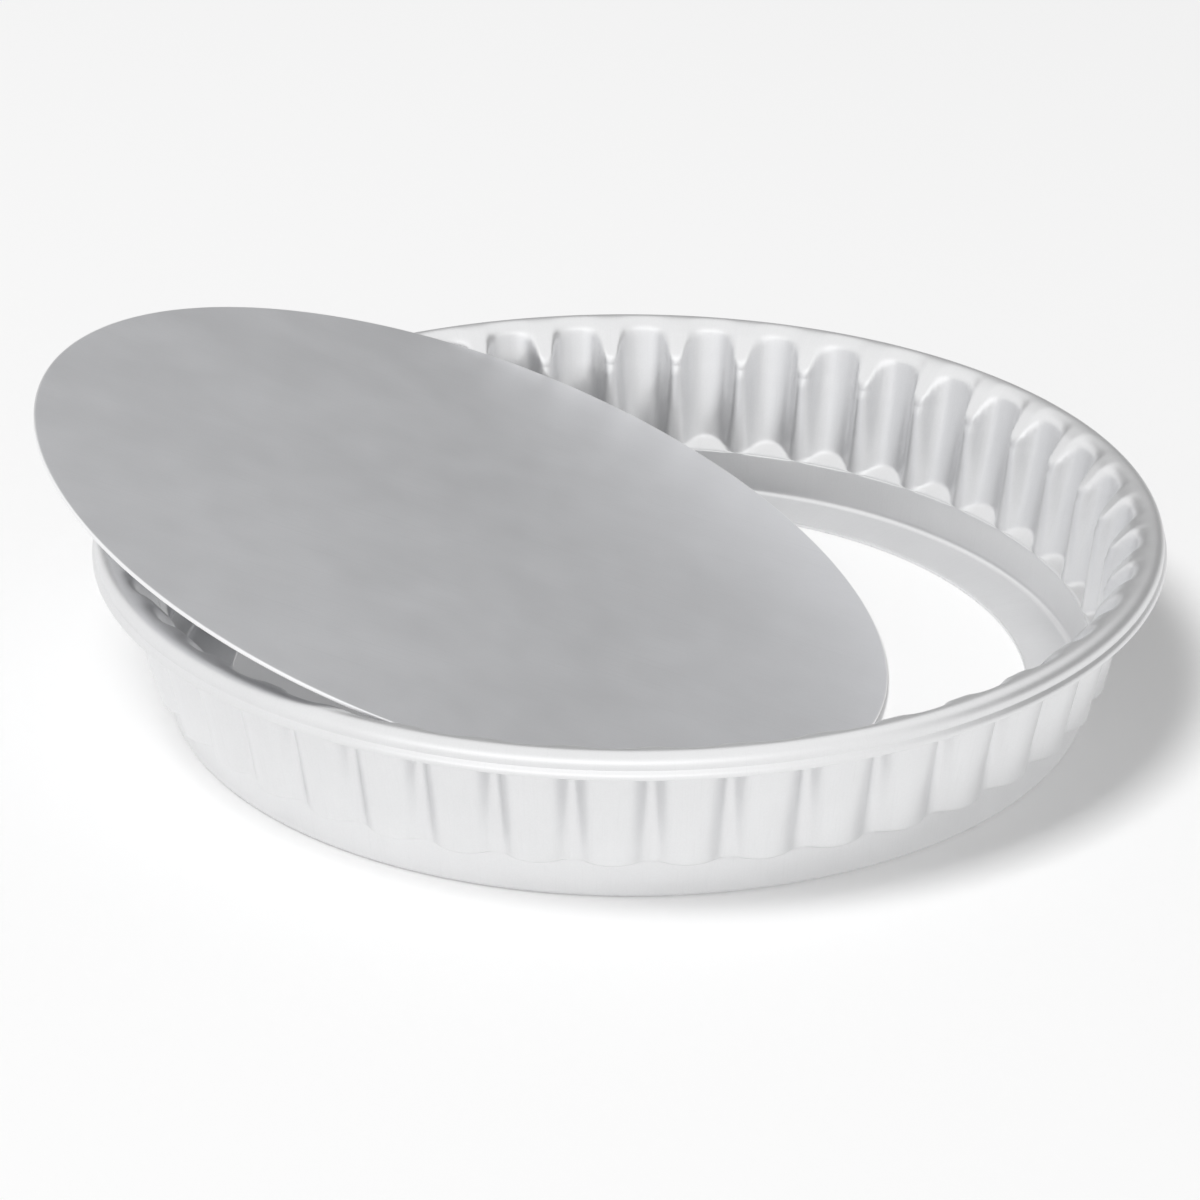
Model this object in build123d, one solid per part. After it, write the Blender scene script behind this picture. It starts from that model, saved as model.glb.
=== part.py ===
from build123d import *
import math
import os

# Main sizes, in millimetres: the tin stands on its foot with its axis on Z
rim_radius = 128.0
rim_height = 43.7
sheet = 1.0

# Flutes around the wall
flute_count = 42
flute_turn = 2.5
groove_radius = 2.2
groove_step = 0.2
groove_spread = 3.0
lobe_depth = 3.0
lobe_inset = 0.3
floor_step = 2.0
floor_slope = 62.5

# Rolled rim with its hanging flange
curl_radius = 2.75
lip_flare = 0.7
lip_drop = 5.6
lip_bend_drop = 3.2

# Shoulder that the wall bends over to reach the rim
shoulder_slope = 55.0
shoulder_lower_radius = 5.0
shoulder_upper_radius = 7.2
shoulder_overlap = 1.1

# Foot band and the ledge that carries the loose base
foot_inset = 17.1
band_spread = 1.5
shelf_height = 10.2
ledge_width = 14.4
foot_corner = 1.5
seat_corner = 1.5

# Loose base and how it leans in the tin
base_thickness = 1.0
base_edge = 0.25
base_side_clearance = 0.92
base_shift = 38.9
base_azimuth = -2.3
rest_clearance = 0.3
steepest_lean = 40.0
lean_step = 0.5
edge_samples = 180
normal_samples = 45
bisection_steps = 24
smallest_edge = 0.001

# Values that follow from the sizes above
foot_radius = rim_radius - foot_inset
opening_radius = foot_radius - ledge_width
band_top_radius = foot_radius + band_spread
band_lean = band_spread / shelf_height
flange_radius = rim_radius - lip_flare
collar_radius = flange_radius - 2 * curl_radius
curl_centre_radius = flange_radius - curl_radius
curl_height = rim_height - curl_radius
lip_bottom = rim_height - lip_drop
lip_bend = rim_height - lip_bend_drop
flute_pitch = 360.0 / flute_count
flute_end_height = rim_height + sheet
groove_foot_radius = band_top_radius + groove_step
groove_top_radius = groove_foot_radius + groove_spread
lobe_foot_radius = groove_foot_radius + lobe_depth
lobe_top_radius = collar_radius + sheet - lobe_inset
floor_radius = groove_foot_radius + floor_step
shoulder_normal = 90 + shoulder_slope
shoulder_start_radius = groove_top_radius - sheet - shoulder_overlap
shoulder_lower_centre = shoulder_start_radius + shoulder_lower_radius
shoulder_upper_height = rim_height - shoulder_upper_radius


def point(radius, height):
    return Vector(radius, 0, height)


def facing(turn):
    away = math.radians(turn)
    return math.cos(away), math.sin(away)


def arc(centre_radius, centre_height, radius, start, end):
    spots = []
    for turn in (start, (start + end) / 2, end):
        across, up = facing(turn)
        spots.append(point(centre_radius + radius * across, centre_height + radius * up))
    return Edge.make_three_point_arc(*spots)


def turned(items):
    """Solid of revolution from arcs and corner points, joined into one closed run."""
    ends = []
    for item in items:
        if isinstance(item, Edge):
            ends.append((item @ 0, item @ 1, item))
        else:
            ends.append((item, item, None))
    edges = []
    for index, (start, end, edge) in enumerate(ends):
        if edge is not None:
            edges.append(edge)
        following = ends[(index + 1) % len(ends)][0]
        if (following - end).length > smallest_edge:
            edges.append(Edge.make_line(end, following))
    return revolve(Face(Wire(edges)), axis=Axis.Z, revolution_arc=360)


def shoulder_lower_height():
    """Height of the lower bend's centre, so that one straight slope joins both bends."""
    across, up = facing(shoulder_normal)
    reach = across * curl_centre_radius + up * shoulder_upper_height + shoulder_upper_radius
    return (reach - shoulder_lower_radius - across * shoulder_lower_centre) / up


def polar(radius, turn, height):
    across, along = facing(turn)
    return Vector(radius * across, radius * along, height)


def along_wall(foot, top, height):
    share = (height - shelf_height) / (curl_height - shelf_height)
    return foot + (top - foot) * share


def outline(height, inset):
    """Fluted outline: convex lobes joined to narrow grooves by tangent arcs."""
    lobe = along_wall(lobe_foot_radius, lobe_top_radius, height)
    groove = along_wall(groove_foot_radius, groove_top_radius, height)
    across, along = facing(flute_pitch / 2)
    groove_centre = groove + groove_radius
    spread = lobe ** 2 + groove_centre ** 2 - 2 * lobe * groove_centre * across - groove_radius ** 2
    lobe_arc = spread / (2 * (lobe - groove_centre * across + groove_radius))
    lobe_centre = lobe - lobe_arc
    lobe_arc = lobe_arc - inset
    groove_arc = groove_radius + inset
    reach_x = groove_centre * across - lobe_centre
    reach_y = groove_centre * along
    reach = math.hypot(reach_x, reach_y)
    join_x = lobe_centre + reach_x * lobe_arc / reach
    join_y = reach_y * lobe_arc / reach
    join_radius = math.hypot(join_x, join_y)
    join_turn = math.degrees(math.atan2(join_y, join_x))
    edges = []
    for index in range(flute_count):
        middle = flute_turn - 90 + (index + 0.5) * flute_pitch
        low = polar(join_radius, middle - join_turn, height)
        crest = polar(lobe_centre + lobe_arc, middle, height)
        high = polar(join_radius, middle + join_turn, height)
        valley = polar(groove_centre - groove_arc, middle + flute_pitch / 2, height)
        next_low = polar(join_radius, middle + flute_pitch - join_turn, height)
        edges.append(Edge.make_three_point_arc(low, crest, high))
        edges.append(Edge.make_three_point_arc(high, valley, next_low))
    return Wire(edges)


def fluted(bottom, inset):
    """Fluted solid from a height up past the rim, with sloped lobe floors."""
    top = flute_end_height
    wall = Solid.make_loft([outline(bottom, inset), outline(top, inset)], ruled=True)
    run = 1 / math.tan(math.radians(floor_slope))
    back = inset / math.sin(math.radians(floor_slope))
    low = floor_radius + (bottom - shelf_height) * run - back
    high = floor_radius + (top - shelf_height) * run - back
    limit = turned([point(0, bottom), point(low, bottom), point(high, top), point(0, top)])
    return wall & limit


def filled_base(inset):
    """Round solid inside the foot band, up to the shelf."""
    corner = seat_corner if inset else foot_corner
    top = shelf_height + sheet
    wall = foot_radius - inset
    edge = wall + band_lean * (inset + corner)
    return turned([
        point(0, inset),
        arc(edge - corner, inset + corner, corner, -90, 0),
        point(wall + band_lean * top, top),
        point(0, top),
    ])


def mouth():
    """Round solid above the middle of the shoulder's sheet."""
    lower_height = shoulder_lower_height()
    half = sheet / 2
    return turned([
        point(0, lower_height),
        arc(shoulder_lower_centre, lower_height, shoulder_lower_radius - half, 180, shoulder_normal),
        arc(curl_centre_radius, shoulder_upper_height, shoulder_upper_radius - half, shoulder_normal, 90),
        point(curl_centre_radius, flute_end_height),
        point(0, flute_end_height),
    ])


def rolled_rim():
    """Shoulder, curl over the top and hanging flange with its flared lip."""
    lower_height = shoulder_lower_height()
    inner = curl_radius - sheet
    return turned([
        arc(shoulder_lower_centre, lower_height, shoulder_lower_radius, 180, shoulder_normal),
        arc(curl_centre_radius, shoulder_upper_height, shoulder_upper_radius, shoulder_normal, 90),
        arc(curl_centre_radius, curl_height, curl_radius, 90, 0),
        point(flange_radius, lip_bend),
        point(rim_radius, lip_bottom),
        point(rim_radius - sheet, lip_bottom),
        point(flange_radius - sheet, lip_bend),
        arc(curl_centre_radius, curl_height, inner, 0, 90),
        arc(curl_centre_radius, shoulder_upper_height, shoulder_upper_radius - sheet, 90, shoulder_normal),
        arc(shoulder_lower_centre, lower_height, shoulder_lower_radius - sheet, shoulder_normal, 180),
    ])


# Fluted ring: one pressing with a round opening in its floor
body = rolled_rim() + filled_base(0) + (fluted(shelf_height, 0) - mouth())
hollow = filled_base(sheet) + fluted(shelf_height + sheet, sheet)
opening = Cylinder(opening_radius, rim_height)
fluted_ring = body - hollow - opening

# Loose base: its low edge stands inside the opening and it leans on the shoulder
seat_radius = foot_radius - sheet + band_lean * (sheet + seat_corner) - seat_corner
base_radius = seat_radius - base_side_clearance
low_face_radius = base_radius - base_edge


def shoulder_gap(radius, height):
    """Distance from a place in the tin's mouth to the shoulder below it."""
    lower_height = shoulder_lower_height()
    most = -rim_radius
    for index in range(normal_samples + 1):
        turn = 180 - 90 * index / normal_samples
        across, up = facing(turn)
        if turn > shoulder_normal:
            surface = across * shoulder_lower_centre + up * lower_height + shoulder_lower_radius
        else:
            surface = across * curl_centre_radius + up * shoulder_upper_height + shoulder_upper_radius
        most = max(most, across * radius + up * height - surface)
    return most


def resting_height(lean):
    """Height of the low face's centre when the low edge is one clearance above the table."""
    return rest_clearance + low_face_radius * math.sin(math.radians(lean))


def resting_gap(lean):
    """Least distance from the base's low edges to the shoulder at one lean."""
    run, drop = facing(lean)
    least = rim_radius
    for radius, height in ((low_face_radius, 0), (base_radius, base_edge)):
        for index in range(edge_samples):
            across, along = facing(180 * index / edge_samples)
            x = radius * across * run + height * drop - base_shift
            y = radius * along
            z = resting_height(lean) - radius * across * drop + height * run
            least = min(least, shoulder_gap(math.hypot(x, y), z))
    return least


def resting_lean():
    """Lean at which the base is one clearance above the shoulder."""
    high = steepest_lean
    low = high - lean_step
    while low > lean_step and resting_gap(low) > rest_clearance:
        high = low
        low = high - lean_step
    for _ in range(bisection_steps):
        middle = (low + high) / 2
        if resting_gap(middle) > rest_clearance:
            high = middle
        else:
            low = middle
    return high


base_lean = resting_lean()
plate = Cylinder(base_radius, base_thickness, align=(Align.CENTER, Align.CENTER, Align.MIN))
plate = chamfer(plate.edges(), base_edge)
place = Rot(0, 0, base_azimuth) * Pos(-base_shift, 0, resting_height(base_lean))
loose_base = place * Rot(0, base_lean, 0) * plate

os.makedirs("parts", exist_ok=True)
export_step(fluted_ring, "parts/fluted_ring.step")
export_step(loose_base, "parts/loose_base.step")
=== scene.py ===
import math

import bpy
import numpy as np
from mathutils import Matrix, Vector


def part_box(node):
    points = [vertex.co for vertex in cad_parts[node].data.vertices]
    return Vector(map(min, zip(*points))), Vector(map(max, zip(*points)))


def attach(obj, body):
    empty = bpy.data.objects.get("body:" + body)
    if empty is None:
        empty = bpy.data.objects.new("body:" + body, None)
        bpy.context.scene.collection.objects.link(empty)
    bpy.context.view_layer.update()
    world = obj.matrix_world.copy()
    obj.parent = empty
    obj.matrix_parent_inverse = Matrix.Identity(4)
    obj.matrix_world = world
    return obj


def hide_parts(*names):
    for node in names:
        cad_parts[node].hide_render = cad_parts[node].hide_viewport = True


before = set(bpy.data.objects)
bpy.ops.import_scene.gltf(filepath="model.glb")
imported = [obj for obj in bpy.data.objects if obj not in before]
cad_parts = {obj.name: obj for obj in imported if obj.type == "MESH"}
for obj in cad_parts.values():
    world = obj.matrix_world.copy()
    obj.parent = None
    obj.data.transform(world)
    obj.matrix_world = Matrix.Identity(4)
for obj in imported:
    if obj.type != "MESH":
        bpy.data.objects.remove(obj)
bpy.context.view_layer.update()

bl_info = {
    "name": "Fluted Quiche Tin",
    "version": (1, 0, 0),
    "blender": (4, 5, 0),
    "location": "View3D > Sidebar > Quiche Tin",
    "description": "Builds a fluted quiche tin with its loose base leaning in it",
    "category": "Add Mesh",
}

RING_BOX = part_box("fluted_ring")

# Smaller forms of the rim, in metres, with angles in degrees
LIP_FLARE = 0.0007
LIP_DROP = 0.0056
KNEE_RISE = 0.0011
KNEE_INSET = 0.00012
CURL_ROUND = 0.00275
CURL_END = -16
CURL_INSIDE_END = -12

# Shoulder that joins the wall to the rim, and how softly it meets the flutes
SHOULDER_NORMAL = 140
SHOULDER_LOWER_ROUND = 0.006
SHOULDER_UPPER_ROUND = 0.0076
WEB_BLEND = 0.0007
WEB_BLEND_FADE = 0.003

# Wall: the foot band's spread, the sloped floor inside each lobe, and the flatter lobes near the rim
BAND_SPREAD = 0.0015
FLOOR_STEP = 0.0007
FLOOR_SLOPE = 38
FLOOR_BLEND = 0.0006
LOBE_FLATTENING = 0.45
LEAN_SPAN = 0.01

# Roundings of the sheet's edges and bends
EDGE_ROUND = 0.0003
VALLEY_ROUND = 0.0006
KNEE_ROUND = 0.0005
BRIM_ROUND = 0.0005
BRIM_OUTER_ROUND = 0.0006
FLUTE_FOOT_ROUND = 0.0008
FOOT_ROUND = 0.0015

# Places of the outline's points, as shares: from a groove to a lobe's crest, and up the wall
TURN_SHARES = (0.0, 0.03, 0.06, 0.1, 0.15, 0.21, 0.29, 0.39, 0.5, 0.62, 0.75, 0.88)
WALL_SHARES = (
    0.0, 0.03, 0.05, 0.065, 0.08, 0.095, 0.11, 0.13, 0.15, 0.18, 0.22, 0.27, 0.33,
    0.42, 0.52, 0.64, 0.76, 0.88, 0.96)
LEDGE_SHARES = (0.03, 0.2, 0.5, 0.78, 0.86)
BAND_INNER_SHARES = (0.06, 0.5, 0.9)
BAND_OUTER_SHARES = (0.1, 0.5)
UNDERSIDE_SHARES = (0.06, 0.5, 0.9)

# Base plate: points out along its faces, as shares of its radius, and points around it
PLATE_SHARES = (0.12, 0.3, 0.5, 0.7, 0.85, 0.94, 0.985)
PLATE_AROUND = 288
# Width of the painted highlight, a band just inside the plate's edge that is painted lighter
HIGHLIGHT_EDGE_START = 0.0005
HIGHLIGHT_EDGE_END = 0.0001

# Stage: lamps, the card that the metal reflects, and the camera at the photograph's place
KEY_PLACE = (-1.94, -1.94, 5.6)
KEY_SIZE = (2.2, 2.2)
FRONT_PLACE = (-0.5, -2.4, 0.9)
FRONT_SIZE = (3.2, 1.4)
FLOOR_DROP = 0.0001
CARD_RADIUS = 2.0
CARD_HEIGHT = 1.5
CARD_START = -20
CARD_SWEEP = 150
CARD_STEPS = 24
CAMERA_DISTANCE = 1.0523648
CAMERA_ELEVATION = 0.4637
CAMERA_YAW = -0.0067
CAMERA_PITCH = 0.0168
CAMERA_ROLL = 0.0047
SENSOR_WIDTH = 36.0


# Settings that a user would change

class RingSettings(bpy.types.PropertyGroup):
    rim_radius: bpy.props.FloatProperty(
        name="Rim radius", description="Radius over the rim's lip",
        default=(RING_BOX[1][0] - RING_BOX[0][0]) / 2, unit="LENGTH", precision=4)
    rim_height: bpy.props.FloatProperty(
        name="Rim height", description="Height of the rim above the table",
        default=RING_BOX[1][2], unit="LENGTH", precision=4)
    sheet: bpy.props.FloatProperty(
        name="Sheet", description="Thickness of the pressed sheet",
        default=0.001, unit="LENGTH", precision=4)
    flute_count: bpy.props.IntProperty(
        name="Flutes", description="Number of flutes around the wall", default=42, min=12)
    flute_turn: bpy.props.FloatProperty(
        name="Flute turn", description="Turn of the first groove from the front",
        default=math.radians(2.5), subtype="ANGLE")
    lobe_foot: bpy.props.FloatProperty(
        name="Lobe radius at the foot", description="Outside radius of a lobe at its foot",
        default=0.1156, unit="LENGTH", precision=4)
    lobe_top: bpy.props.FloatProperty(
        name="Lobe radius at the rim", description="Outside radius of a lobe under the rim",
        default=0.1219, unit="LENGTH", precision=4)
    groove_foot: bpy.props.FloatProperty(
        name="Groove radius at the foot", description="Outside radius of a groove at its foot",
        default=0.1126, unit="LENGTH", precision=4)
    groove_top: bpy.props.FloatProperty(
        name="Groove radius at the rim", description="Outside radius of a groove under the rim",
        default=0.1156, unit="LENGTH", precision=4)
    round_foot: bpy.props.FloatProperty(
        name="Groove rounding at the foot", description="Rounding in the bottom of a groove, at its foot",
        default=0.0042, unit="LENGTH", precision=4)
    round_top: bpy.props.FloatProperty(
        name="Groove rounding at the rim", description="Rounding in the bottom of a groove, under the rim",
        default=0.0018, unit="LENGTH", precision=4)
    shelf_height: bpy.props.FloatProperty(
        name="Shelf height", description="Height of the step between foot band and flutes",
        default=0.0102, unit="LENGTH", precision=4)
    foot_radius: bpy.props.FloatProperty(
        name="Foot radius", description="Radius of the foot band at the table",
        default=0.1109, unit="LENGTH", precision=4)
    opening_radius: bpy.props.FloatProperty(
        name="Opening radius", description="Radius of the round opening in the floor",
        default=0.0965, unit="LENGTH", precision=4)
    colour: bpy.props.FloatVectorProperty(
        name="Aluminium", description="Colour of the satin aluminium",
        default=(0.83, 0.832, 0.838), subtype="COLOR", min=0, max=1)
    roughness: bpy.props.FloatProperty(
        name="Roughness", description="Roughness of the satin finish",
        default=0.38, min=0, max=1)


class BaseSettings(bpy.types.PropertyGroup):
    edge_round: bpy.props.FloatProperty(
        name="Edge rounding", description="Rounding of the plate's trimmed edge",
        default=0.00028, unit="LENGTH", precision=5)
    edge_clearance: bpy.props.FloatProperty(
        name="Edge clearance", description="How far the plate stays inside its CAD solid",
        default=0.00003, unit="LENGTH", precision=5)
    colour: bpy.props.FloatVectorProperty(
        name="Aluminium", description="Colour of the rolled aluminium sheet",
        default=(0.75, 0.755, 0.772), subtype="COLOR", min=0, max=1)
    # Painted highlight: a lighter colour laid on a thin band along the plate's edge, standing for the
    # light that its rounding catches
    edge_highlight_colour: bpy.props.FloatVectorProperty(
        name="Edge", description="Colour of the freshly cut edge",
        default=(0.93, 0.93, 0.935), subtype="COLOR", min=0, max=1)
    roughness: bpy.props.FloatProperty(
        name="Roughness", description="Roughness of the rolled finish",
        default=0.44, min=0, max=1)


class StageSettings(bpy.types.PropertyGroup):
    floor_size: bpy.props.FloatProperty(
        name="Floor size", description="Side of the square floor",
        default=12.0, unit="LENGTH")
    floor_colour: bpy.props.FloatVectorProperty(
        name="Floor", description="Colour of the studio floor",
        default=(0.98, 0.98, 0.98), subtype="COLOR", min=0, max=1)
    floor_white: bpy.props.FloatProperty(
        name="Floor white", description="Share of plain white in what the camera sees of the floor",
        default=0.12, min=0, max=1)
    mirrored_white: bpy.props.FloatProperty(
        name="Mirrored white", description="Share of plain white in what the metal mirrors of the floor",
        default=0.4, min=0, max=1)
    sky_light: bpy.props.FloatProperty(
        name="Sky light", description="Strength of the soft light from all sides",
        default=0.36, min=0)
    key_power: bpy.props.FloatProperty(
        name="Key power", description="Power of the soft lamp high on the left, which casts the shadow",
        default=254.0, unit="POWER")
    front_power: bpy.props.FloatProperty(
        name="Front power", description="Power of the wide soft lamp low in front",
        default=6.0, unit="POWER")
    card_tone: bpy.props.FloatProperty(
        name="Card tone", description="Brightness of the grey card behind on the right",
        default=0.34, min=0, max=1)
    lens: bpy.props.FloatProperty(
        name="Lens", description="Focal length of the camera", default=129.7, unit="CAMERA")


# Shader nodes

def new_group(name, inputs, outputs):
    """An empty node group with named sockets and its two end nodes."""
    group = bpy.data.node_groups.new(name, "ShaderNodeTree")
    for label, kind, value in inputs:
        socket = group.interface.new_socket(name=label, in_out="INPUT", socket_type=kind)
        if value is not None:
            socket.default_value = value
    for label, kind in outputs:
        group.interface.new_socket(name=label, in_out="OUTPUT", socket_type=kind)
    start = group.nodes.new("NodeGroupInput")
    end = group.nodes.new("NodeGroupOutput")
    return group, start, end


class Wiring:
    """Short calls for making nodes in one tree."""

    def __init__(self, tree):
        self.tree = tree

    def node(self, kind, **settings):
        made = self.tree.nodes.new(kind)
        for key, value in settings.items():
            setattr(made, key, value)
        return made

    def put(self, value, socket):
        if isinstance(value, bpy.types.NodeSocket):
            self.tree.links.new(value, socket)
        else:
            socket.default_value = value

    def math(self, operation, first, second=0.0, third=None):
        made = self.node("ShaderNodeMath", operation=operation)
        self.put(first, made.inputs[0])
        self.put(second, made.inputs[1])
        if third is not None:
            self.put(third, made.inputs[2])
        return made.outputs[0]

    def blend(self, first, second, share):
        """Sum of two values, of which the second has the named share."""
        return self.math("MULTIPLY_ADD", second, share, self.math("MULTIPLY", first, 1 - share))

    def spread(self, value, low, high, out_low, out_high):
        made = self.node("ShaderNodeMapRange")
        made.clamp = True
        for index, item in enumerate((value, low, high, out_low, out_high)):
            self.put(item, made.inputs[index])
        return made.outputs[0]

    def noise(self, place, scale, detail, roughness):
        made = self.node("ShaderNodeTexNoise")
        self.put(place, made.inputs["Vector"])
        self.put(scale, made.inputs["Scale"])
        made.inputs["Detail"].default_value = detail
        made.inputs["Roughness"].default_value = roughness
        return made.outputs[0]

    def scaled(self, place, scale):
        made = self.node("ShaderNodeVectorMath", operation="MULTIPLY")
        self.put(place, made.inputs[0])
        self.put(scale, made.inputs[1])
        return made.outputs[0]

    def tint(self, factor, low, high):
        made = self.node("ShaderNodeMix", data_type="RGBA")
        self.put(factor, made.inputs[0])
        self.put(low, made.inputs[6])
        self.put(high, made.inputs[7])
        return made.outputs[2]


def satin_group():
    """Fine grain of satin aluminium, with slow changes in its tone and its gloss."""
    group, start, end = new_group("Satin grain", (
        ("Place", "NodeSocketVector", None),
        ("Grain scale", "NodeSocketFloat", 2600.0),
        ("Dark tone", "NodeSocketColor", (0.7, 0.7, 0.7, 1.0)),
        ("Light tone", "NodeSocketColor", (0.8, 0.8, 0.8, 1.0)),
        ("Least roughness", "NodeSocketFloat", 0.3),
        ("Most roughness", "NodeSocketFloat", 0.4),
    ), (
        ("Tone", "NodeSocketColor"),
        ("Roughness", "NodeSocketFloat"),
        ("Height", "NodeSocketFloat"),
    ))
    w = Wiring(group)
    sockets = start.outputs
    place = sockets["Place"]
    low, high = 0.35, 0.65
    grain = w.noise(place, sockets["Grain scale"], detail=2.0, roughness=0.6)
    cloud = w.noise(place, 22.0, detail=3.0, roughness=0.55)
    patch = w.noise(place, 90.0, detail=4.0, roughness=0.6)
    mixed = w.blend(cloud, patch, 0.4)
    tone = w.spread(w.blend(mixed, grain, 0.35), low, high, 0.0, 1.0)
    gloss = w.blend(mixed, grain, 0.3)
    rough = w.spread(gloss, low, high, sockets["Least roughness"], sockets["Most roughness"])
    w.put(w.tint(tone, sockets["Dark tone"], sockets["Light tone"]), end.inputs["Tone"])
    w.put(rough, end.inputs["Roughness"])
    w.put(grain, end.inputs["Height"])
    return group


def streak_group():
    """Faint marks that the press draws up the wall, which change little with height."""
    group, start, end = new_group("Draw marks", (
        ("Place", "NodeSocketVector", None),
        ("Marks around", "NodeSocketFloat", 260.0),
    ), (
        ("Mark", "NodeSocketFloat"),
    ))
    w = Wiring(group)
    parts = w.node("ShaderNodeSeparateXYZ")
    w.put(start.outputs["Place"], parts.inputs[0])
    flat = w.node("ShaderNodeCombineXYZ")
    w.put(parts.outputs[0], flat.inputs[0])
    w.put(parts.outputs[1], flat.inputs[1])
    unit = w.node("ShaderNodeVectorMath", operation="NORMALIZE")
    w.put(flat.outputs[0], unit.inputs[0])
    around = w.node("ShaderNodeSeparateXYZ")
    w.put(unit.outputs[0], around.inputs[0])
    joined = w.node("ShaderNodeCombineXYZ")
    w.put(around.outputs[0], joined.inputs[0])
    w.put(around.outputs[1], joined.inputs[1])
    climb = 0.4
    w.put(w.math("MULTIPLY", parts.outputs[2], climb), joined.inputs[2])
    mark = w.noise(joined.outputs[0], start.outputs["Marks around"], detail=3.0, roughness=0.6)
    w.put(mark, end.inputs["Mark"])
    return group


def scuff_group():
    """Small rubbed spots, which show only below a height above the table."""
    group, start, end = new_group("Contact scuffs", (
        ("Place", "NodeSocketVector", None),
        ("Clear height", "NodeSocketFloat", 0.002),
    ), (
        ("Scuff", "NodeSocketFloat"),
    ))
    w = Wiring(group)
    parts = w.node("ShaderNodeSeparateXYZ")
    w.put(start.outputs["Place"], parts.inputs[0])
    near = w.spread(parts.outputs[2], 0.0, start.outputs["Clear height"], 1.0, 0.0)
    worn = w.noise(start.outputs["Place"], 420.0, detail=4.0, roughness=0.7)
    spots = w.spread(worn, 0.52, 0.66, 0.0, 1.0)
    w.put(w.math("MULTIPLY", near, spots), end.inputs["Scuff"])
    return group


def shared_group(name, maker):
    """The node group of that name, made once for all materials."""
    found = bpy.data.node_groups.get(name)
    return found or maker()


def shaded(colour, share):
    """A darker or lighter form of a colour."""
    return tuple(channel * share for channel in colour) + (1.0,)


def new_metal(name):
    """A material with a plain metal shader, its wiring and its place on the object."""
    material = bpy.data.materials.new(name)
    material.use_nodes = True
    shader = material.node_tree.nodes["Principled BSDF"]
    shader.inputs["Metallic"].default_value = 1.0
    w = Wiring(material.node_tree)
    place = w.node("ShaderNodeTexCoord").outputs["Object"]
    return material, shader, w, place


def place_group(w, group, **values):
    """A node that uses a group, with its named sockets filled."""
    made = w.node("ShaderNodeGroup")
    made.node_tree = group
    for label, value in values.items():
        w.put(value, made.inputs[label.replace("_", " ")])
    return made


def bump(w, height, distance, strength, below=None):
    """A bump node's normal, laid over the normal of another bump."""
    made = w.node("ShaderNodeBump")
    made.inputs["Distance"].default_value = distance
    made.inputs["Strength"].default_value = strength
    w.put(height, made.inputs["Height"])
    if below is not None:
        w.put(below, made.inputs["Normal"])
    return made.outputs[0]


def ring_material(settings):
    """Satin anodised aluminium with draw marks up the wall and scuffs at the foot."""
    material, shader, w, place = new_metal("Satin aluminium ring")
    colour = tuple(settings.colour)
    change = 0.035
    satin = place_group(
        w, shared_group("Satin grain", satin_group), Place=place, Grain_scale=2400.0,
        Dark_tone=shaded(colour, 0.965), Light_tone=shaded(colour, 1.02),
        Least_roughness=settings.roughness - change, Most_roughness=settings.roughness + change)
    marks = place_group(w, shared_group("Draw marks", streak_group), Place=place, Marks_around=240.0)
    scuffs = place_group(w, shared_group("Contact scuffs", scuff_group), Place=place, Clear_height=0.0007)
    mark_share = w.spread(marks.outputs[0], 0.55, 0.75, 0.0, 0.35)
    marked = w.tint(mark_share, satin.outputs["Tone"], shaded(colour, 0.93))
    w.put(w.tint(scuffs.outputs[0], marked, shaded(colour, 0.8)), shader.inputs["Base Color"])
    rough = w.math("MULTIPLY_ADD", marks.outputs[0], 0.04, satin.outputs["Roughness"])
    w.put(w.math("MULTIPLY_ADD", scuffs.outputs[0], 0.12, rough), shader.inputs["Roughness"])
    marks_bump = bump(w, marks.outputs[0], distance=0.00002, strength=0.5)
    grain_bump = bump(w, satin.outputs["Height"], distance=0.00001, strength=0.6, below=marks_bump)
    w.put(grain_bump, shader.inputs["Normal"])
    return material


def base_material(settings, centre, radius):
    """Rolled aluminium sheet with long faint lines across it and a painted highlight, a lighter band all
    round its trimmed edge.
    """
    material, shader, w, place = new_metal("Rolled aluminium base")
    colour = tuple(settings.colour)
    change = 0.03
    satin = place_group(
        w, shared_group("Satin grain", satin_group), Place=place, Grain_scale=2600.0,
        Dark_tone=shaded(colour, 0.97), Light_tone=shaded(colour, 1.03),
        Least_roughness=settings.roughness - change, Most_roughness=settings.roughness + change)
    across_lines = (30.0, 1400.0, 30.0)
    lines = w.noise(w.scaled(place, across_lines), 1.0, detail=3.0, roughness=0.55)
    line_share = w.spread(lines, 0.55, 0.75, 0.0, 0.3)
    lined = w.tint(line_share, satin.outputs["Tone"], shaded(colour, 0.94))
    # Painted highlight: the colour turns lighter in a thin band just inside the plate's edge
    reach = w.node("ShaderNodeVectorMath", operation="DISTANCE")
    w.put(place, reach.inputs[0])
    w.put(tuple(centre), reach.inputs[1])
    edge = w.spread(reach.outputs["Value"], radius - HIGHLIGHT_EDGE_START, radius - HIGHLIGHT_EDGE_END, 0.0, 1.0)
    w.put(w.tint(edge, lined, tuple(settings.edge_highlight_colour) + (1.0,)), shader.inputs["Base Color"])
    w.put(w.math("MULTIPLY_ADD", lines, 0.03, satin.outputs["Roughness"]), shader.inputs["Roughness"])
    lines_bump = bump(w, lines, distance=0.000012, strength=0.4)
    grain_bump = bump(w, satin.outputs["Height"], distance=0.00001, strength=0.5, below=lines_bump)
    w.put(grain_bump, shader.inputs["Normal"])
    return material


# Meshes

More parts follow.
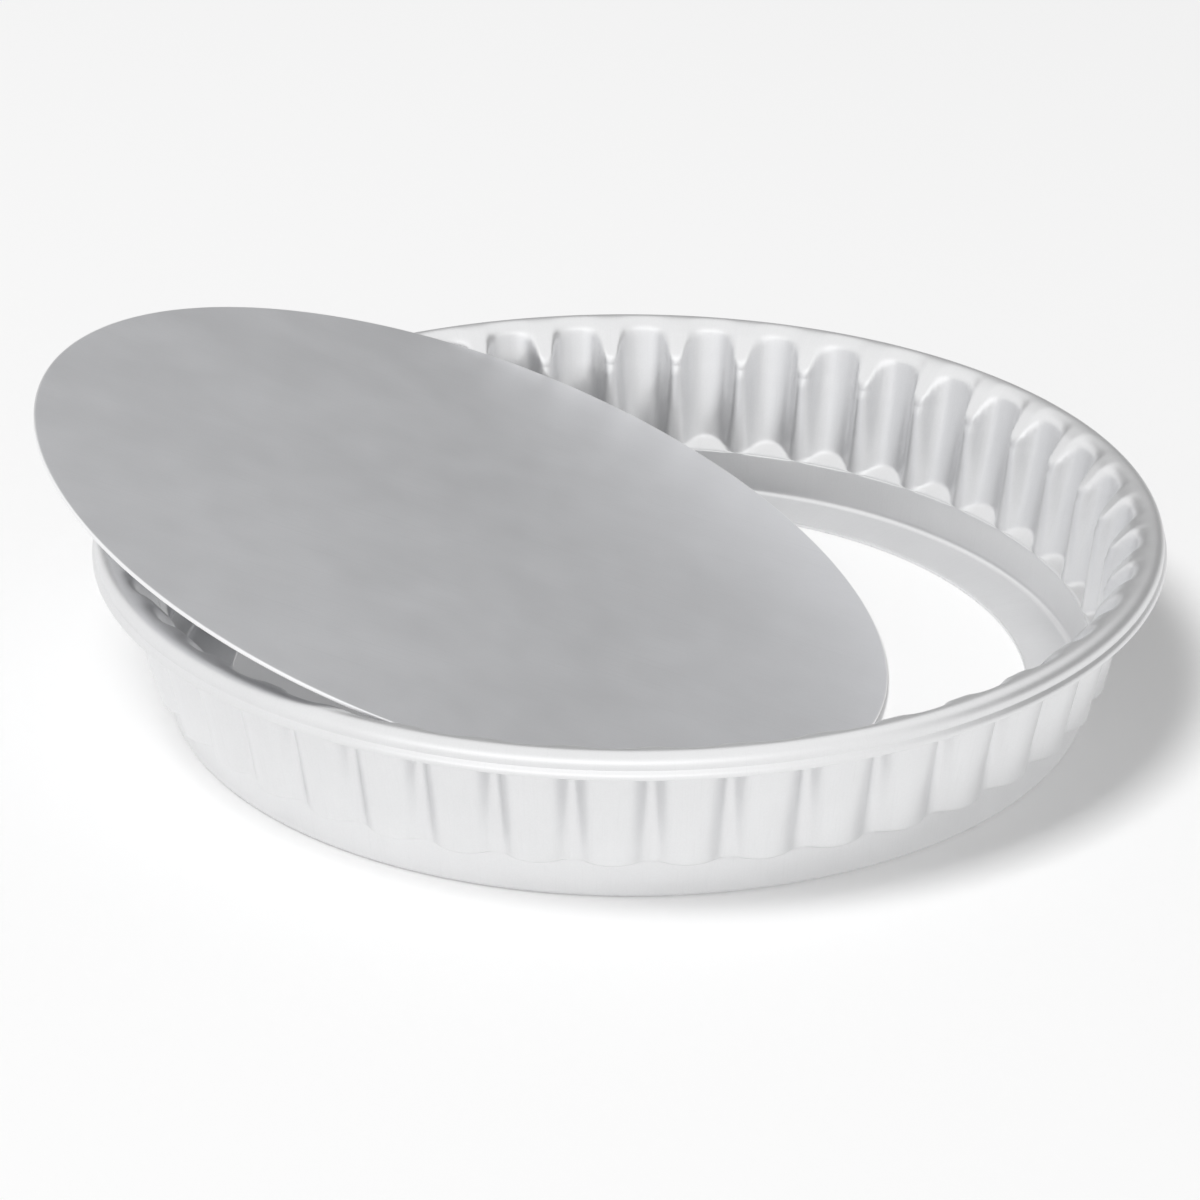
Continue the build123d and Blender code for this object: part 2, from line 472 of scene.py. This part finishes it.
def new_piece(name, points, faces, material, body, node):
    """A smooth mesh that stands for one CAD node and rides on its body."""
    mesh = bpy.data.meshes.new(name)
    mesh.from_pydata(points.tolist(), [], faces)
    mesh.polygons.foreach_set("use_smooth", np.ones(len(mesh.polygons), dtype=bool))
    mesh.materials.append(material)
    mesh.update()
    if mesh.validate():
        raise RuntimeError(f"The mesh of {name} has faults")
    piece = bpy.data.objects.new(name, mesh)
    bpy.context.scene.collection.objects.link(piece)
    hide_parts(node)
    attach(piece, body)
    return piece


def ring_faces(around, along):
    """Quads of a tube that closes both around the axis and along its outline."""
    column = np.arange(around)
    row = np.arange(along)
    first = (column[:, None] * along + row[None, :])
    beside = (((column + 1) % around)[:, None] * along + row[None, :])
    above = (column[:, None] * along + ((row + 1) % along)[None, :])
    across = (((column + 1) % around)[:, None] * along + ((row + 1) % along)[None, :])
    return np.stack([first, beside, across, above], axis=2).reshape(-1, 4).tolist()


def blend_low(first, second, width):
    """The smaller of two values, with a soft change from one to the other."""
    return (first + second - np.sqrt((first - second) ** 2 + width ** 2)) / 2


def blend_high(first, second, width):
    """The larger of two values, with a soft change from one to the other."""
    return (first + second + np.sqrt((first - second) ** 2 + width ** 2)) / 2


def arc_run(centre_radius, centre_height, radius, start, end, count):
    """Radii and heights of points along an arc of the outline."""
    turn = np.radians(np.linspace(start, end, count))
    return centre_radius + radius * np.cos(turn), centre_height + radius * np.sin(turn)


class RingShape:
    """Outline of the pressed sheet at every turn around the axis, in metres."""

    def __init__(self, settings):
        self.s = settings
        self.pitch = 2 * math.pi / settings.flute_count
        self.curl_radius = settings.rim_radius - LIP_FLARE - CURL_ROUND
        self.curl_height = settings.rim_height - CURL_ROUND
        self.band_lean = BAND_SPREAD / settings.shelf_height
        self.upper_height = settings.rim_height - SHOULDER_UPPER_ROUND
        climb = self.curl_height - settings.shelf_height
        lean = math.atan((settings.groove_top - settings.groove_foot) / climb)
        self.ridge_normal = 180 - math.degrees(lean)

        # The lower bend's centre lies where it touches both the ridge's line and the shoulder's slope
        facing = math.radians(SHOULDER_NORMAL)
        slope = np.array([math.cos(facing), math.sin(facing)])
        ridge = np.array([-math.cos(lean), math.sin(lean)])
        foot = np.array([settings.groove_foot - settings.sheet, settings.shelf_height])
        top = np.array([self.curl_radius, self.upper_height])
        limits = [ridge @ foot - SHOULDER_LOWER_ROUND,
                  slope @ top + SHOULDER_UPPER_ROUND - SHOULDER_LOWER_ROUND]
        self.lower_centre, self.lower_height = np.linalg.solve(np.array([ridge, slope]), limits)

        half = np.array(TURN_SHARES)
        offsets = np.concatenate([-half[1:][::-1], half, [1.0]]) * self.pitch / 2
        first = settings.flute_turn - math.pi / 2
        turns = first + np.arange(settings.flute_count)[:, None] * self.pitch + offsets[None, :]
        self.turns = turns.reshape(-1)
        self.from_groove = np.tile(np.abs(offsets), settings.flute_count)

    def wall(self, height, inset):
        """Radius of the fluted wall at each height and each turn."""
        s = self.s
        share = (height - s.shelf_height) / (self.curl_height - s.shelf_height)
        share = np.asarray(share).reshape(-1, 1)
        lobe = s.lobe_foot + (s.lobe_top - s.lobe_foot) * share
        groove = s.groove_foot + (s.groove_top - s.groove_foot) * share
        across = math.cos(self.pitch / 2)
        along = math.sin(self.pitch / 2)
        bend = s.round_foot + (s.round_top - s.round_foot) * np.clip(share, 0, 1)
        centre = groove + bend
        spread = lobe ** 2 + centre ** 2 - 2 * lobe * centre * across - bend ** 2
        lobe_arc = spread / (2 * (lobe - centre * across + bend))
        lobe_centre = lobe - lobe_arc
        lobe_arc = lobe_arc - inset
        groove_arc = bend + inset
        reach_x = centre * across - lobe_centre
        reach_y = centre * along
        reach = np.hypot(reach_x, reach_y)
        join = np.arctan2(reach_y * lobe_arc / reach, lobe_centre + reach_x * lobe_arc / reach)
        away = 1 - self.from_groove.reshape(1, -1) * 2 / self.pitch
        crest = self.pitch / 2 * away ** (1 + LOBE_FLATTENING * np.clip(share, 0, 1))
        turn = self.pitch / 2 - crest
        bulge = np.sqrt(np.maximum(lobe_arc ** 2 - (lobe_centre * np.sin(crest)) ** 2, 0))
        on_lobe = lobe_centre * np.cos(crest) + bulge
        hollow = np.sqrt(np.maximum(groove_arc ** 2 - (centre * np.sin(turn)) ** 2, 0))
        on_groove = centre * np.cos(turn) - hollow
        return np.where(turn < self.pitch / 2 - join, on_groove, on_lobe)

    def rounded_wall(self, height, inset):
        """The wall with a bend at its top that ends level at the rim's crown."""
        crown = self.s.rim_height - (self.s.sheet - inset)
        at_crown = self.wall(crown, inset)
        lean = np.arctan((at_crown - self.wall(crown - LEAN_SPAN, inset)) / LEAN_SPAN)
        run = self.curl_radius - at_crown
        bend = run / np.tan((math.pi / 2 - lean) / 2)
        start = crown - run * np.cos(lean)
        z = np.asarray(height).reshape(-1, 1)
        arc = self.curl_radius - np.sqrt(np.maximum(bend ** 2 - (z - (crown - bend)) ** 2, 0))
        return np.where(z < start, self.wall(height, inset), arc)

    def floor(self, height):
        """Radius of the sloped floor inside each lobe, which climbs from the band to the wall."""
        start = self.s.groove_foot - self.s.sheet + FLOOR_STEP
        rise = np.asarray(height) - self.s.shelf_height - self.s.sheet
        return (start + rise / math.tan(math.radians(FLOOR_SLOPE))).reshape(-1, 1)

    def shoulder(self, inset):
        """Rounded shoulder from the wall's ridges up to the rim's top."""
        low = arc_run(self.lower_centre, self.lower_height, SHOULDER_LOWER_ROUND - inset,
                      self.ridge_normal, SHOULDER_NORMAL, 10)
        high = arc_run(self.curl_radius, self.upper_height, SHOULDER_UPPER_ROUND - inset,
                       SHOULDER_NORMAL, 90, 20)
        share = np.linspace(0, 1, 6)[1:-1]
        radius = np.concatenate([low[0], low[0][-1] + (high[0][0] - low[0][-1]) * share, high[0]])
        height = np.concatenate([low[1], low[1][-1] + (high[1][0] - low[1][-1]) * share, high[1]])
        return radius, height

    def side(self, inset):
        """Wall and shoulder of one face of the sheet, from the shelf up to the rim's top."""
        base = self.s.shelf_height + inset
        radius, top = self.shoulder(self.s.sheet - inset)
        height = base + (top[0] - base) * np.array(WALL_SHARES)
        low = self.wall(height, inset)
        if inset:
            low = blend_low(low, self.floor(height), FLOOR_BLEND)
        width = WEB_BLEND * np.clip((top[-1] - top) / WEB_BLEND_FADE, 0, 1).reshape(-1, 1)
        high = blend_high(radius.reshape(-1, 1), self.rounded_wall(top, inset), width)
        return np.concatenate([low, high]), np.concatenate([height, top])


def corner_run(before, corner, after, radius, count):
    """Rounds one corner of an outline: each place is a radius and a height for every turn."""
    before, corner, after = (np.stack(place, axis=0) for place in (before, corner, after))
    shortest = 1e-9
    largest_share = 0.48
    back = before - corner
    ahead = after - corner
    back_length = np.maximum(np.linalg.norm(back, axis=0), shortest)
    ahead_length = np.maximum(np.linalg.norm(ahead, axis=0), shortest)
    reach = np.minimum(radius, np.minimum(back_length, ahead_length) * largest_share)
    start = corner + back / back_length * reach
    end = corner + ahead / ahead_length * reach
    runs = []
    for share in np.linspace(0, 1, count):
        runs.append((1 - share) ** 2 * start + 2 * share * (1 - share) * corner + share ** 2 * end)
    return runs


def ring_outline(shape):
    """All rows of the closed outline, each a radius and a height for every turn."""
    s = shape.s
    mid = s.sheet / 2
    inner, inner_height = shape.side(s.sheet)
    outer, outer_height = shape.side(0.0)
    shelf_in = s.shelf_height + s.sheet
    wall_in = s.foot_radius - s.sheet
    rows = []

    def flat(value):
        return np.full_like(shape.turns, value)

    def straight(start, end, shares):
        for share in shares:
            rows.append(start + (end - start) * share)

    # Opening's edge, ledge and band inside
    edge_mid = (flat(s.opening_radius), flat(mid))
    edge_top = (flat(s.opening_radius), flat(s.sheet))
    seat = (flat(wall_in + shape.band_lean * s.sheet), flat(s.sheet))
    brim = (flat(wall_in + shape.band_lean * shelf_in), flat(shelf_in))
    wall_start = (inner[0], flat(shelf_in))
    wall_next = (inner[2], flat(inner_height[2]))
    rows.append(np.stack(edge_mid))
    rows.extend(corner_run(edge_mid, edge_top, seat, EDGE_ROUND, 4))
    straight(rows[-1], np.stack(seat), LEDGE_SHARES)
    rows.extend(corner_run(edge_top, seat, brim, FOOT_ROUND, 7))
    straight(rows[-1], np.stack(brim), BAND_INNER_SHARES)
    rows.extend(corner_run(seat, brim, wall_start, BRIM_ROUND, 4))
    rows.extend(corner_run(brim, wall_start, wall_next, BRIM_ROUND, 4))
    for index in range(2, len(inner)):
        rows.append(np.stack([inner[index], flat(inner_height[index])]))

    # Curl, flange and lip
    lip = s.rim_height - LIP_DROP
    centre = (shape.curl_radius, shape.curl_height)
    curl = list(zip(*arc_run(*centre, CURL_ROUND, 90, CURL_END, 17)))
    under = list(zip(*arc_run(*centre, CURL_ROUND - s.sheet, CURL_INSIDE_END, 90, 11)))
    for radius, height in curl[1:-1]:
        rows.append(np.stack([flat(radius), flat(height)]))
    bulge = tuple(flat(value) for value in curl[-2])
    valley = tuple(flat(value) for value in curl[-1])
    lip_out = (flat(s.rim_radius), flat(lip))
    lip_in = (flat(s.rim_radius - s.sheet), flat(lip))
    tuck = tuple(flat(value) for value in under[0])
    knee = (flat(s.rim_radius - KNEE_INSET), flat(lip + KNEE_RISE))
    rows.extend(corner_run(bulge, valley, knee, VALLEY_ROUND, 5))
    rows.extend(corner_run(valley, knee, lip_out, KNEE_ROUND, 5))
    rows.extend(corner_run(knee, lip_out, lip_in, EDGE_ROUND, 5))
    rows.extend(corner_run(lip_out, lip_in, tuck, EDGE_ROUND, 5))
    for radius, height in under[:-1]:
        rows.append(np.stack([flat(radius), flat(height)]))

    # Shoulder's underside, wall, shelf, band and foot outside
    for index in range(len(outer) - 1, 1, -1):
        rows.append(np.stack([outer[index], flat(outer_height[index])]))
    wall_end = (outer[0], flat(s.shelf_height))
    wall_last = (outer[2], flat(outer_height[2]))
    brim_out = (flat(s.foot_radius + shape.band_lean * s.shelf_height), flat(s.shelf_height))
    foot = (flat(s.foot_radius), flat(0.0))
    edge_low = (flat(s.opening_radius), flat(0.0))
    rows.extend(corner_run(wall_last, wall_end, brim_out, FLUTE_FOOT_ROUND, 6))
    rows.extend(corner_run(wall_end, brim_out, foot, BRIM_OUTER_ROUND, 4))
    straight(rows[-1], np.stack(foot), BAND_OUTER_SHARES)
    rows.extend(corner_run(brim_out, foot, edge_low, FOOT_ROUND, 7))
    straight(rows[-1], np.stack(edge_low), UNDERSIDE_SHARES)
    rows.extend(corner_run(foot, edge_low, edge_mid, EDGE_ROUND, 4))
    return np.array(rows)


def plate_frame():
    """Centre, radius, thickness and axes of the loose base, from its CAD mesh."""
    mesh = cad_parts["loose_base"].data
    points = np.array([tuple(vertex.co) for vertex in mesh.vertices])
    largest = max(mesh.polygons, key=lambda face: face.area)
    normal = np.array(tuple(largest.normal))
    if normal[2] < 0:
        normal = -normal
    level = points @ normal
    middle = (level.max() + level.min()) / 2
    flat = points - np.outer(level, normal)
    down = normal * normal[2] - np.array([0.0, 0.0, 1.0])
    down = down / np.linalg.norm(down)
    side = np.cross(normal, down)
    ends = [((flat @ axis).max() + (flat @ axis).min()) / 2 for axis in (down, side)]
    radius = ((flat @ down).max() - (flat @ down).min()) / 2
    centre = down * ends[0] + side * ends[1] + normal * middle
    return centre, radius, level.max() - level.min(), down, side, normal


# Operators

class TIN_OT_fluted_ring(bpy.types.Operator):
    """Make the fluted ring as one pressed sheet with its curled rim"""
    bl_idname = "tin.fluted_ring"
    bl_label = "Fluted Ring"

    def execute(self, context):
        settings = context.scene.tin_ring
        shape = RingShape(settings)
        rows = ring_outline(shape)
        turns = shape.turns
        radius = rows[:, 0, :].T
        height = rows[:, 1, :].T
        points = np.stack([
            radius * np.cos(turns)[:, None], radius * np.sin(turns)[:, None], height], axis=2)
        faces = ring_faces(len(turns), len(rows))
        new_piece("ring_pressing", points.reshape(-1, 3), faces, ring_material(settings),
                  "ring", "fluted_ring")
        return {"FINISHED"}


class TIN_OT_loose_base(bpy.types.Operator):
    """Make the loose base plate with its rounded edge where the CAD has it"""
    bl_idname = "tin.loose_base"
    bl_label = "Loose Base"

    def execute(self, context):
        settings = context.scene.tin_base
        centre, radius, thickness, down, side, normal = plate_frame()
        radius = radius - settings.edge_clearance
        half = thickness / 2 - settings.edge_clearance
        bend = settings.edge_round
        outline = [(radius * share, half) for share in PLATE_SHARES]
        outline.append((radius - 2 * bend, half))
        for turn in np.radians(np.linspace(90, 0, 5)):
            outline.append((radius - bend + bend * math.cos(turn), half - bend + bend * math.sin(turn)))
        outline = outline + [(out, -up) for out, up in reversed(outline)]
        around = PLATE_AROUND
        along = len(outline)
        turns = np.arange(around) * 2 * math.pi / around
        points = []
        for turn in turns:
            ray = down * math.cos(turn) + side * math.sin(turn)
            points.extend(centre + ray * out + normal * up for out, up in outline)
        faces = []
        for column in range(around):
            beside = (column + 1) % around
            for row in range(along - 1):
                faces.append((column * along + row + 1, beside * along + row + 1,
                              beside * along + row, column * along + row))
        top = len(points)
        points.append(centre + normal * half)
        points.append(centre - normal * half)
        for column in range(around):
            beside = (column + 1) % around
            faces.append((top, column * along, beside * along))
            faces.append((top + 1, beside * along + along - 1, column * along + along - 1))
        new_piece("base_plate", np.array(points), faces, base_material(settings, centre, radius),
                  "base", "loose_base")
        return {"FINISHED"}


def soft_lamp(name, place, size, power):
    """A large area lamp that faces the tin."""
    data = bpy.data.lights.new(name, "AREA")
    data.shape = "RECTANGLE"
    data.size, data.size_y = size
    data.energy = power
    lamp = bpy.data.objects.new(name, data)
    lamp.location = place
    lamp.rotation_euler = (-Vector(place)).to_track_quat("-Z", "Y").to_euler()
    bpy.context.scene.collection.objects.link(lamp)
    return lamp


def floor_material(settings):
    """Pale studio floor, partly plain white to the camera and in the metal, with its shadows kept."""
    material = bpy.data.materials.new("Studio floor")
    material.use_nodes = True
    tree = material.node_tree
    shader = tree.nodes["Principled BSDF"]
    shader.inputs["Roughness"].default_value = 0.9
    shader.inputs["Specular IOR Level"].default_value = 0.0
    shader.inputs["Base Color"].default_value = tuple(settings.floor_colour) + (1.0,)
    w = Wiring(tree)
    path = w.node("ShaderNodeLightPath")
    mirrored = w.math("MAXIMUM", path.outputs["Is Glossy Ray"], path.outputs["Is Transmission Ray"])
    seen = w.math("MULTIPLY", path.outputs["Is Camera Ray"], settings.floor_white)
    white = w.node("ShaderNodeEmission")
    mix = w.node("ShaderNodeMixShader")
    w.put(w.math("MULTIPLY_ADD", mirrored, settings.mirrored_white, seen), mix.inputs[0])
    w.put(shader.outputs[0], mix.inputs[1])
    w.put(white.outputs[0], mix.inputs[2])
    w.put(mix.outputs[0], tree.nodes["Material Output"].inputs["Surface"])
    return material


def white_world(settings):
    """Plain white all round to the camera and in the metal, and a softer light on the floor."""
    world = bpy.data.worlds.new("White studio")
    world.use_nodes = True
    tree = world.node_tree
    w = Wiring(tree)
    path = w.node("ShaderNodeLightPath")
    seen = w.math("MAXIMUM", path.outputs["Is Camera Ray"], path.outputs["Is Glossy Ray"])
    seen = w.math("MAXIMUM", seen, path.outputs["Is Transmission Ray"])
    strength = w.spread(seen, 0.0, 1.0, settings.sky_light, 1.0)
    background = tree.nodes["Background"]
    background.inputs["Color"].default_value = (1.0, 1.0, 1.0, 1.0)
    w.put(strength, background.inputs["Strength"])
    bpy.context.scene.world = world


def backdrop_card(settings):
    """A tall curved grey card behind and on the right, which only the metal reflects."""
    material = bpy.data.materials.new("Grey card")
    material.use_nodes = True
    tree = material.node_tree
    glow = tree.nodes.new("ShaderNodeEmission")
    glow.inputs["Color"].default_value = (settings.card_tone,) * 3 + (1.0,)
    tree.links.new(glow.outputs[0], tree.nodes["Material Output"].inputs["Surface"])
    points = []
    faces = []
    for index in range(CARD_STEPS + 1):
        turn = math.radians(CARD_START + CARD_SWEEP * index / CARD_STEPS)
        x = CARD_RADIUS * math.cos(turn)
        y = CARD_RADIUS * math.sin(turn)
        points.extend(((x, y, 0.0), (x, y, CARD_HEIGHT)))
        if index < CARD_STEPS:
            faces.append((2 * index, 2 * index + 2, 2 * index + 3, 2 * index + 1))
    mesh = bpy.data.meshes.new("grey_card")
    mesh.from_pydata(points, [], faces)
    mesh.materials.append(material)
    card = bpy.data.objects.new("grey_card", mesh)
    card.visible_camera = False
    card.visible_diffuse = False
    card.visible_shadow = False
    bpy.context.scene.collection.objects.link(card)


def photo_camera(settings):
    """The camera at the photograph's place: distance, elevation and small turns of its aim."""
    place = Vector((0, -math.cos(CAMERA_ELEVATION), math.sin(CAMERA_ELEVATION))) * CAMERA_DISTANCE
    ahead = -place.normalized()
    right = Vector((1, 0, 0))
    up = right.cross(ahead)
    aim = (ahead + right * math.tan(CAMERA_YAW) + up * math.tan(CAMERA_PITCH)).normalized()
    right = aim.cross(up).normalized()
    up = right.cross(aim)
    turned_right = right * math.cos(CAMERA_ROLL) + up * math.sin(CAMERA_ROLL)
    turned_up = up * math.cos(CAMERA_ROLL) - right * math.sin(CAMERA_ROLL)
    data = bpy.data.cameras.new("Photo camera")
    data.sensor_width = SENSOR_WIDTH
    data.lens = settings.lens
    camera = bpy.data.objects.new("Photo camera", data)
    turn = Matrix((turned_right, turned_up, -aim)).transposed().to_4x4()
    camera.matrix_world = Matrix.Translation(place) @ turn
    bpy.context.scene.collection.objects.link(camera)
    bpy.context.scene.camera = camera


class TIN_OT_stage(bpy.types.Operator):
    """Make the pale floor, the white surround, the soft lamps and the camera"""
    bl_idname = "tin.stage"
    bl_label = "Stage"

    def execute(self, context):
        settings = context.scene.tin_stage
        side = settings.floor_size / 2
        mesh = bpy.data.meshes.new("studio_floor")
        mesh.from_pydata([(-side, -side, 0), (side, -side, 0), (side, side, 0), (-side, side, 0)],
                         [], [(0, 1, 2, 3)])
        mesh.materials.append(floor_material(settings))
        floor = bpy.data.objects.new("studio_floor", mesh)
        floor.location.z = -FLOOR_DROP
        context.scene.collection.objects.link(floor)
        white_world(settings)
        backdrop_card(settings)
        key = soft_lamp("Key", KEY_PLACE, KEY_SIZE, settings.key_power)
        key.visible_glossy = False
        soft_lamp("Front", FRONT_PLACE, FRONT_SIZE, settings.front_power)
        photo_camera(settings)
        context.scene.view_settings.view_transform = "Standard"
        return {"FINISHED"}


class TIN_PT_panel(bpy.types.Panel):
    """Sidebar panel that lists the tin's pieces and its stage"""
    bl_idname = "TIN_PT_panel"
    bl_label = "Quiche Tin"
    bl_space_type = "VIEW_3D"
    bl_region_type = "UI"
    bl_category = "Quiche Tin"

    def draw(self, context):
        groups = (
            ("tin.fluted_ring", context.scene.tin_ring),
            ("tin.loose_base", context.scene.tin_base),
            ("tin.stage", context.scene.tin_stage),
        )
        for operator, settings in groups:
            box = self.layout.box()
            box.operator(operator)
            for name in settings.__annotations__:
                box.prop(settings, name)


CLASSES = (
    RingSettings,
    BaseSettings,
    StageSettings,
    TIN_OT_fluted_ring,
    TIN_OT_loose_base,
    TIN_OT_stage,
    TIN_PT_panel,
)


def register():
    for item in CLASSES:
        bpy.utils.register_class(item)
    bpy.types.Scene.tin_ring = bpy.props.PointerProperty(type=RingSettings)
    bpy.types.Scene.tin_base = bpy.props.PointerProperty(type=BaseSettings)
    bpy.types.Scene.tin_stage = bpy.props.PointerProperty(type=StageSettings)


def unregister():
    del bpy.types.Scene.tin_stage
    del bpy.types.Scene.tin_base
    del bpy.types.Scene.tin_ring
    for item in reversed(CLASSES):
        bpy.utils.unregister_class(item)


def main():
    register()
    bpy.ops.tin.fluted_ring()
    bpy.ops.tin.loose_base()
    bpy.ops.tin.stage()


if __name__ == "__main__":
    main()
